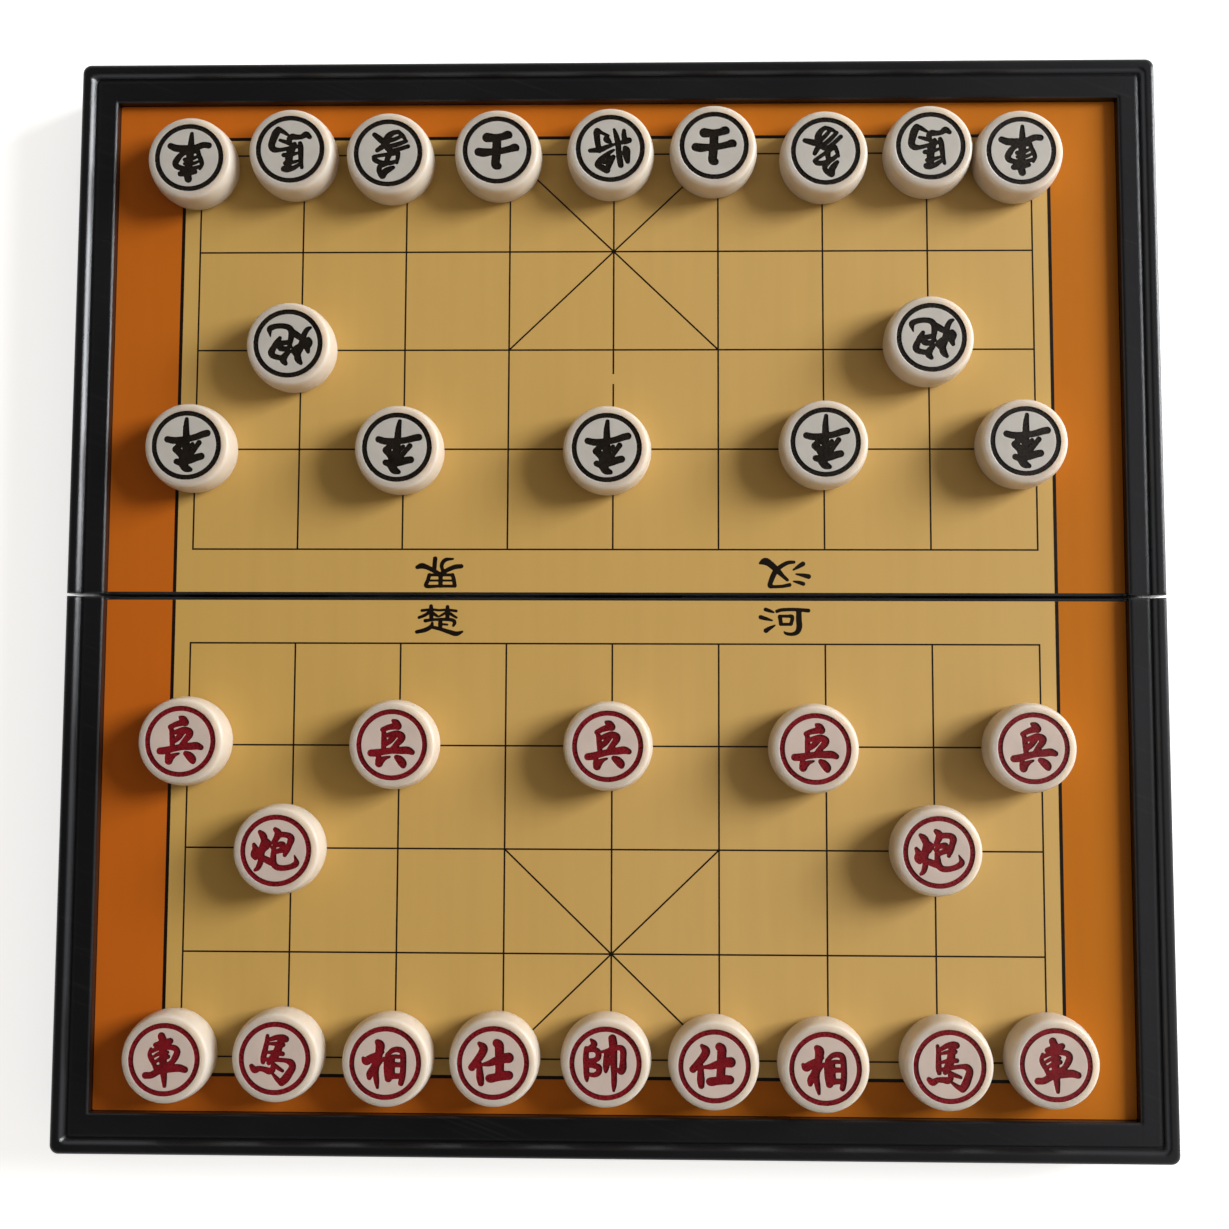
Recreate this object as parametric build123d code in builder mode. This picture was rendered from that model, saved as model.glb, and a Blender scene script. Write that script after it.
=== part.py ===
from build123d import *
import os
from math import atan, degrees

# Magnetic folding xiangqi set, opened flat on its back.
# Millimetres. X runs along the seam, +Y towards the black side, +Z up. The origin is on the table
# under the middle of the seam. The two halves turn about the seam, with the boards outside.

# Box
board_width = 310.0  # over both side rims
board_length = 310.0  # over both end rims, opened flat
box_height = 20.0  # table to the top of the rim
seam_gap = 0.8  # between the facing walls of the two halves
corner_radius = 2.5
inner_corner_radius = 0.4
wall = 2.4
seam_wall = 2.4
deck = 1.8  # the plate under the board
web = 1.8  # the rim's inner wall
rib_width = 1.2
rib_height = 1.2
rib_count = 3  # ribs from the seam to the end, in each half

# Rim, from outside to inside: a flat, a step down, a groove, a ledge and a drop to the board
rim_side = 10.2  # outer face to the board, at the sides
rim_end = 10.9  # outer face to the board, at the ends
rim_flat = 2.7
rim_step = 1.0
ledge_drop = 1.1  # rim top to ledge
groove_width = 0.8
groove_depth = 0.5
surface_drop = 4.0  # rim top to the printed surface
rim_edge_radius = 0.8
ledge_edge_radius = 0.5

# Board sheets
sheet_thickness = 0.4
steel_thickness = 0.5
seam_lip = 0.65  # width of the deck's edge that shows beside the seam
sheet_clearance = 0.1
sheet_corner_radius = 0.5
steel_inset = 0.5

# Hinge
hinge_axis_z = 2.2
knuckle_radius = 2.1
knuckle_length = 8.0
knuckle_gap = 0.2
knuckle_count = 5  # in each group: three on the near half, two on the far half
hinge_spacing = 105.0  # between the middles of the three groups
pin_radius = 1.0
pin_hold_clearance = 0.03  # in the near knuckles
pin_run_clearance = 0.06  # in the far knuckles
knuckle_relief = 0.3
pin_end_wall = 1.2
pin_end_gap = 0.3

# Lap joint round the closed box: the near half has the inner lip, the far half the outer one
lip_gap = 0.2  # between the two lips, sideways
lip_end_gap = 0.1  # between a lip's edge and the shoulder that it meets
bead_spacing = 90.0  # between the middles of the two snap beads
bead_length = 20.0
bead_radius = 0.7
bead_height = 0.45
bead_clearance = 0.25
thumb_width = 22.0
thumb_height = 2.0

# Discs
disc_radius = 12.5
disc_height = 9.8
disc_foot_radius = 10.9
disc_foot_height = 1.3
disc_belly_z = 4.6
disc_shoulder_z = 7.0
disc_side_radius = 12.15
disc_top_radius = 10.3
ring_radius = 9.1  # middle of the engraved ring
ring_width = 1.4
ring_depth = 0.3
magnet_radius = 6.0
magnet_thickness = 2.5
magnet_clearance = 0.05

# Grid that the discs stand on
grid_side = 24.4  # board's side edge to the nearest file
grid_end = 15.05  # board's end to the nearest rank
river_width = 26.9  # between the two middle ranks
file_count = 9
ranks_each = 5

# Heights and outlines that follow from those
half_width = board_width / 2
half_length = board_length / 2
seam_face = seam_gap / 2
surface_z = box_height - surface_drop
floor_z = surface_z - sheet_thickness - steel_thickness
deck_under_z = floor_z - deck
ledge_z = box_height - ledge_drop
channel_z = ledge_z - web
seam_wall_z = hinge_axis_z + lip_end_gap / 2
lap_height = 2 * hinge_axis_z
lip = (wall - lip_gap) / 2
ledge_inset = rim_flat + rim_step
past_seam = -10.0  # cuts that run out through the seam start this far beyond it
cut_past = 1.0  # other cuts run on this far past the face that they open
tolerance = 0.01  # for picking edges by where they lie
step_taper = degrees(atan(rim_step / ledge_drop))
hinge_places = (-hinge_spacing, 0.0, hinge_spacing)
bead_places = (-bead_spacing / 2, bead_spacing / 2)
file_pitch = (board_width - 2 * (rim_side + grid_side)) / (file_count - 1)
rank_pitch = (half_length - rim_end - grid_end - river_width / 2) / (ranks_each - 1)
free_across = file_pitch - 2 * disc_radius  # between two discs on neighbouring files
free_along = rank_pitch - 2 * disc_radius  # and on neighbouring ranks


def half_face(z, side, inset_side, inset_end, start_y, radius=0.0):
    """A rectangle at height z, set in from the half's sides and end, its two outer corners rounded."""
    end_y = half_length - inset_end
    with BuildSketch(Plane.XY.offset(z)) as face:
        with Locations((0, side * (start_y + end_y) / 2)):
            Rectangle(board_width - 2 * inset_side, end_y - start_y)
        if radius > 0:
            corners = face.vertices().group_by(Axis.Y)[-1 if side > 0 else 0]
            fillet(corners, radius)
    return face.sketch


def band_face(z, side, outer, inner, start_y, outer_radius, inner_radius):
    """The U between two such rectangles; outer and inner are (side inset, end inset)."""
    with BuildSketch(Plane.XY.offset(z)) as band:
        add(half_face(z, side, *outer, start_y, outer_radius))
        add(half_face(z, side, *inner, start_y - cut_past, inner_radius), mode=Mode.SUBTRACT)
    return band.sketch


def on_outline(edge):
    """True for an edge on the half's outer face."""
    middle = edge.center()
    at_side = abs(middle.X) > half_width - corner_radius
    at_end = abs(middle.Y) > half_length - corner_radius
    return at_side or at_end


def round_bar(x_start, x_end, radius):
    """A cylinder about the hinge axis, from one x to another."""
    with BuildPart(mode=Mode.PRIVATE) as bar:
        with BuildSketch(Plane.YZ.offset(x_start)):
            with Locations((0, hinge_axis_z)):
                Circle(radius)
        extrude(amount=x_end - x_start)
    return bar.part


def knuckle_span(place, index):
    """The two x at the ends of one knuckle's station, gaps included."""
    start = place + (index - knuckle_count / 2) * knuckle_length
    return start, start + knuckle_length


def group_span(place):
    """The two x at the ends of one hinge group."""
    reach = knuckle_count * knuckle_length / 2 - knuckle_gap / 2
    return place - reach, place + reach


def make_shell(side, inner_lip, own_first, bore_radius):
    """One half of the box: rim, deck, walls, ribs, lap lip and hinge knuckles."""
    with BuildPart() as shell:
        # Outer block with its rounded corners and top edge
        extrude(half_face(0, side, 0, 0, seam_face, corner_radius), amount=box_height)
        top_edges = shell.edges().group_by(Axis.Z)[-1].filter_by(on_outline)
        fillet(top_edges, rim_edge_radius)

        # Step from the rim's flat down to the ledge, and the groove at its foot
        step = half_face(ledge_z, side, ledge_inset, ledge_inset, past_seam, rim_edge_radius)
        extrude(step, amount=ledge_drop + cut_past, taper=-step_taper, mode=Mode.SUBTRACT)
        groove_in = ledge_inset + groove_width
        groove = band_face(
            ledge_z - groove_depth,
            side,
            (ledge_inset, ledge_inset),
            (groove_in, groove_in),
            past_seam,
            rim_edge_radius,
            inner_corner_radius,
        )
        extrude(groove, amount=groove_depth, mode=Mode.SUBTRACT)

        # Drop to the board: down to the printed surface at the seam's lip, and to the floor behind it
        at_surface = half_face(surface_z, side, rim_side, rim_end, past_seam)
        extrude(at_surface, amount=box_height - surface_z, mode=Mode.SUBTRACT)
        at_floor = half_face(floor_z, side, rim_side, rim_end, seam_face + seam_lip)
        extrude(at_floor, amount=surface_z - floor_z, mode=Mode.SUBTRACT)

        # Storage space under the deck, and the channel under the rim
        cavity_y = seam_face + seam_wall
        under_deck = half_face(0, side, wall, wall, cavity_y, inner_corner_radius)
        extrude(under_deck, amount=deck_under_z, mode=Mode.SUBTRACT)
        channel = band_face(
            deck_under_z,
            side,
            (wall, wall),
            (rim_side - web, rim_end - web),
            cavity_y,
            inner_corner_radius,
            inner_corner_radius,
        )
        extrude(channel, amount=channel_z - deck_under_z, mode=Mode.SUBTRACT)

        # The seam wall stops just above the hinge axis, so that the two meet when closed
        seam_strip_y = side * (seam_face + seam_wall / 2)
        with BuildSketch(Plane.XY):
            with Locations((0, seam_strip_y)):
                Rectangle(board_width - 2 * wall, seam_wall)
        extrude(amount=seam_wall_z, mode=Mode.SUBTRACT)

        # Ribs that stiffen the deck
        rib_end_y = half_length - rim_end + web
        rib_field = board_width - 2 * rim_side + 2 * web
        cross_y = side * (cavity_y + rib_end_y) / 2
        with BuildSketch(Plane.XY.offset(deck_under_z - rib_height)):
            with Locations((0, cross_y)):
                with GridLocations(rib_field / (rib_count + 1), 1, rib_count, 1):
                    Rectangle(rib_width, rib_end_y - cavity_y)
                Rectangle(rib_field, rib_width)
        extrude(amount=rib_height)

        # Lap lip: the other half's share of the wall is cut away below the shoulder
        if inner_lip:
            cut_outer, cut_inner = 0.0, wall - lip
            radii = (corner_radius, corner_radius - cut_inner)
        else:
            cut_outer, cut_inner = lip, wall
            radii = (corner_radius - lip, inner_corner_radius)
        lap = band_face(
            0, side, (cut_outer, cut_outer), (cut_inner, cut_inner), past_seam, *radii
        )
        extrude(lap, amount=lap_height + lip_end_gap, mode=Mode.SUBTRACT)

        # Thumb notch in the middle of the end wall: an arc cut into the edge that shows when closed
        notch_edge_z = lap_height + lip_end_gap if inner_lip else 0.0
        arc_radius = (thumb_width**2 / 4 + thumb_height**2) / (2 * thumb_height)
        notch_depth = wall - lip if inner_lip else lip
        with BuildSketch(Plane.XZ.offset(-side * half_length)):
            with Locations((0, notch_edge_z + thumb_height - arc_radius)):
                Circle(arc_radius)
            with Locations((0, notch_edge_z - arc_radius)):
                Rectangle(3 * arc_radius, 2 * arc_radius, mode=Mode.SUBTRACT)
        extrude(amount=side * notch_depth, mode=Mode.SUBTRACT)

        # Snap beads on the inner lip, pockets for them in the outer one
        for place in bead_places:
            if inner_lip:
                bead_y = side * (half_length - (wall - lip) + bead_height - bead_radius)
                with BuildSketch(Plane.YZ.offset(place - bead_length / 2)):
                    with Locations((bead_y, hinge_axis_z)):
                        Circle(bead_radius)
                extrude(amount=bead_length)
            else:
                pocket_reach = half_length - lip + bead_height - lip_gap + bead_clearance
                pocket_top = hinge_axis_z + bead_radius + bead_clearance
                pocket_y = side * (pocket_reach - lip / 2)
                with BuildSketch(Plane.XY):
                    with Locations((place, pocket_y)):
                        Rectangle(bead_length + 2 * bead_clearance, lip)
                extrude(amount=pocket_top, mode=Mode.SUBTRACT)

        # Hinge: relief for the other half's knuckles, then this half's own, then the pin's bore
        for place in hinge_places:
            for index in range(knuckle_count):
                start, end = knuckle_span(place, index)
                own = (index % 2 == 0) == own_first
                if not own:
                    relief = knuckle_radius + knuckle_relief
                    add(round_bar(start, end, relief), mode=Mode.SUBTRACT)
            for index in range(knuckle_count):
                start, end = knuckle_span(place, index)
                own = (index % 2 == 0) == own_first
                if own:
                    add(round_bar(start + knuckle_gap / 2, end - knuckle_gap / 2, knuckle_radius))
            bore_start, bore_end = group_span(place)
            bore = round_bar(bore_start + pin_end_wall, bore_end + cut_past, bore_radius)
            add(bore, mode=Mode.SUBTRACT)

        # Rounded inner edge of the ledge, where it drops to the board
        ledge_low, ledge_high = ledge_z - tolerance, ledge_z + tolerance
        ledge_edges = shell.edges().filter_by_position(Axis.Z, ledge_low, ledge_high)
        inner_edges = ledge_edges.filter_by(
            lambda edge: abs(edge.center().X) < half_width - rim_side + tolerance
            and abs(edge.center().Y) < half_length - rim_end + tolerance
            and edge.length > rim_side
        )
        fillet(inner_edges, ledge_edge_radius)
    return shell.part


def make_sheet(side, z, thickness, inset):
    """One rectangular board sheet in the half's recess, with small corner radii."""
    start_y = seam_face + seam_lip + inset
    with BuildPart() as sheet:
        outline = (rim_side + inset, rim_end + inset, start_y, sheet_corner_radius)
        extrude(half_face(z, side, *outline), amount=thickness)
    return sheet.part


def make_disc(x, y):
    """One playing disc: a turned body with an engraved ring, and the magnet in its underside."""
    upright = Plane(origin=(x, y, surface_z), x_dir=(1, 0, 0), z_dir=(0, -1, 0))
    turn_axis = Axis((x, y, 0), (0, 0, 1))
    pocket_radius = magnet_radius + magnet_clearance
    pocket_depth = magnet_thickness + 2 * magnet_clearance
    ring_inner = ring_radius - ring_width / 2
    ring_outer = ring_radius + ring_width / 2
    with BuildPart() as disc:
        with BuildSketch(upright):
            with BuildLine():
                foot = Line((0, 0), (disc_foot_radius, 0))
                side_start = (disc_side_radius, disc_foot_height)
                side_end = (disc_side_radius, disc_shoulder_z)
                heel = Line(foot @ 1, side_start)
                belly = ThreePointArc(heel @ 1, (disc_radius, disc_belly_z), side_end)
                shoulder = TangentArc(belly @ 1, (disc_top_radius, disc_height), tangent=belly % 1)
                Line(shoulder @ 1, (0, disc_height))
                Line((0, disc_height), (0, 0))
            make_face()
        revolve(axis=turn_axis)
        with BuildSketch(Plane((x, y, surface_z + disc_height))):
            Circle(ring_outer)
            Circle(ring_inner, mode=Mode.SUBTRACT)
        extrude(amount=-ring_depth, mode=Mode.SUBTRACT)
        with BuildSketch(Plane((x, y, surface_z))):
            Circle(pocket_radius)
        extrude(amount=pocket_depth, mode=Mode.SUBTRACT)
        with BuildSketch(Plane((x, y, surface_z + magnet_clearance))):
            Circle(magnet_radius)
        extrude(amount=magnet_thickness)
    return disc.part


def write(part, name):
    """Labels a finished piece and writes its STEP file."""
    part.label = name
    export_step(part, f"parts/{name}.step")


os.makedirs("parts", exist_ok=True)

# The two halves of the box
near_shell = make_shell(-1, True, True, pin_radius + pin_hold_clearance)
far_shell = make_shell(1, False, False, pin_radius + pin_run_clearance)
write(near_shell, "near_shell")
write(far_shell, "far_shell")

# Steel sheets on the decks, and the printed boards on them
for side, half in ((-1, "near"), (1, "far")):
    steel = make_sheet(side, floor_z, steel_thickness, steel_inset)
    write(steel, f"{half}_steel_sheet")
    printed = make_sheet(side, floor_z + steel_thickness, sheet_thickness, sheet_clearance)
    write(printed, f"{half}_printed_sheet")

# Hinge pins, one in each group of knuckles
with BuildPart() as hinge_pins:
    for place in hinge_places:
        pin_start, pin_end = group_span(place)
        add(round_bar(pin_start + pin_end_wall + pin_end_gap, pin_end - pin_end_gap, pin_radius))
write(hinge_pins.part, "hinge_pins")

# Discs, each as (name, file 1 to 9 from the left, rank 0 to 9 from the far end, how far it stands off
# the crossing to the right and to the far end), set out by hand as a player leaves them. The last two
# are shares of the free space between discs on neighbouring crossings.
black_discs = (
    ("chariot_left", 1, 0, -0.14, -1.13),
    ("horse_left", 2, 0, -0.37, -0.54),
    ("elephant_left", 3, 0, -0.78, -0.85),
    ("advisor_left", 4, 0, -0.59, -0.67),
    ("general", 5, 0, -0.18, -0.59),
    ("advisor_right", 6, 0, -0.31, -0.41),
    ("elephant_right", 7, 0, -0.04, -0.87),
    ("horse_right", 8, 0, -0.14, -0.51),
    ("chariot_right", 9, 0, -1.06, -0.9),
    ("cannon_left", 2, 2, -0.27, -0.15),
    ("cannon_right", 8, 2, -0.22, 0.21),
    ("soldier_1", 1, 3, 0.12, -0.18),
    ("soldier_2", 3, 3, -0.04, -0.33),
    ("soldier_3", 5, 3, -0.31, -0.36),
    ("soldier_4", 7, 3, -0.16, 0.03),
    ("soldier_5", 9, 3, -1.1, 0.1),
)
red_discs = (
    ("soldier_1", 1, 6, 0.2, 0.28),
    ("soldier_2", 3, 6, -0.08, 0.1),
    ("soldier_3", 5, 6, -0.2, 0.05),
    ("soldier_4", 7, 6, -0.82, -0.08),
    ("soldier_5", 9, 6, -0.96, 0.03),
    ("cannon_left", 2, 7, -0.37, 0.05),
    ("cannon_right", 8, 7, -0.18, 0.18),
    ("chariot_left", 1, 9, -0.24, 0.36),
    ("horse_left", 2, 9, -0.2, 0.51),
    ("elephant_left", 3, 9, -0.18, 0.26),
    ("advisor_left", 4, 9, -0.33, 0.33),
    ("general", 5, 9, -0.25, 0.36),
    ("advisor_right", 6, 9, -0.37, 0.23),
    ("elephant_right", 7, 9, -0.41, 0.13),
    ("horse_right", 8, 9, 0.24, 0.33),
    ("chariot_right", 9, 9, -0.08, 0.51),
)
for colour, discs in (("black", black_discs), ("red", red_discs)):
    for rank_name, file_number, rank, off_across, off_along in discs:
        on_far_half = rank < ranks_each
        steps = ranks_each - 1 - rank if on_far_half else rank - ranks_each
        away = river_width / 2 + steps * rank_pitch
        disc_x = (file_number - (file_count + 1) / 2) * file_pitch + off_across * free_across
        disc_y = (away if on_far_half else -away) + off_along * free_along
        write(make_disc(disc_x, disc_y), f"{colour}_{rank_name}")
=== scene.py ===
"""Magnetic folding xiangqi set: finishes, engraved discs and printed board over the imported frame."""
import bmesh
import bpy
import numpy as np
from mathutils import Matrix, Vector
from mathutils.geometry import delaunay_2d_cdt


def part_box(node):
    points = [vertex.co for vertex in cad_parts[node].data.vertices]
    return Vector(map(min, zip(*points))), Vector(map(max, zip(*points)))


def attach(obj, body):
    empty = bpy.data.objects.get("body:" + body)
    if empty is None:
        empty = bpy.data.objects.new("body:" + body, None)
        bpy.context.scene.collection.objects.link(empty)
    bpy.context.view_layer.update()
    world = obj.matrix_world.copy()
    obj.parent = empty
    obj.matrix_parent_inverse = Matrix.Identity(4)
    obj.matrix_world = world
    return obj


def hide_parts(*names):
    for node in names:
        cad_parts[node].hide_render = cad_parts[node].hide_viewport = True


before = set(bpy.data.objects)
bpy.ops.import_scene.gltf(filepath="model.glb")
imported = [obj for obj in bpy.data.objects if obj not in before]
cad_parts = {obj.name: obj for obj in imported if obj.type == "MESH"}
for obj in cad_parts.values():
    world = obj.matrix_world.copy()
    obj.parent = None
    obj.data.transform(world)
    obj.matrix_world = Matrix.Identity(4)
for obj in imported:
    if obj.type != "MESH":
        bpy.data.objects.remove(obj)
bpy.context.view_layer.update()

MM = 0.001

# Sizes in millimetres. A fan is the small ring that closes a turned shape round its pole.
SURFACE_Z = 16.0
FILE_PITCH = 30.1
RANK_PITCH = 28.9
RIVER = 26.9
FRAME_LINE_X = 125.4
FRAME_LINE_Y = 134.05
FILM_START_Y = 1.15
FILES = np.arange(-4, 5) * FILE_PITCH
RANKS = RIVER / 2 + np.arange(5) * RANK_PITCH

DISC_HEIGHT = 9.8
DISC_FLAT_RADIUS = 9.95
DISC_BELLY = ((12.15, 1.3), (12.48, 4.9), (12.28, 7.0))
RING_OUTER = 9.8
RING_INNER = 8.4
POCKET_RADIUS = 6.05
POCKET_DEPTH = 2.6
POCKET_EDGE = 0.15
POCKET_FAN = 3.0
MAGNET_RADIUS = 6.0
MAGNET_EDGE = 0.25
MAGNET_BOTTOM = 0.05
MAGNET_TOP = 2.55
MAGNET_FAN = 2.0

# Rounding of a disc's foot and heel: its radius, the centres of its two arcs, the angle where one hands
# over to the other, and how far round the belly's arc it reaches, in degrees
EDGE_RADIUS = 0.35
FOOT_CENTRE = (10.75, 0.35)
HEEL_CENTRE = (11.86, 1.42)
HEEL_ANGLE = -44
HEEL_TURN = 1.2

# A disc's full shoulder: its inner end, how steeply it falls there, the reach of its curve's two arms and
# of the brow inside it
SHOULDER_RADIUS = 11.1
SHOULDER_FALL = np.radians(6.0)
SHOULDER_ARMS = (1.5, 0.85)
BROW_REACH = 0.9

# Marks: how deep they are sunk, how far they reach from the middle, and the grid that finds their edge. Its
# shift keeps two sunk parts from meeting in a single point.
MARK_DEPTH = 0.3
MARK_REACH = 9.2
RIVER_REACH = 8.4
RIVER_PATCH = 10.5
GRID_PITCH = 0.16
GRID_SHIFT = 0.093

TURN_STEPS = 112
MAGNET_STEPS = 64
PATCH_STEPS = 24

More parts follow.
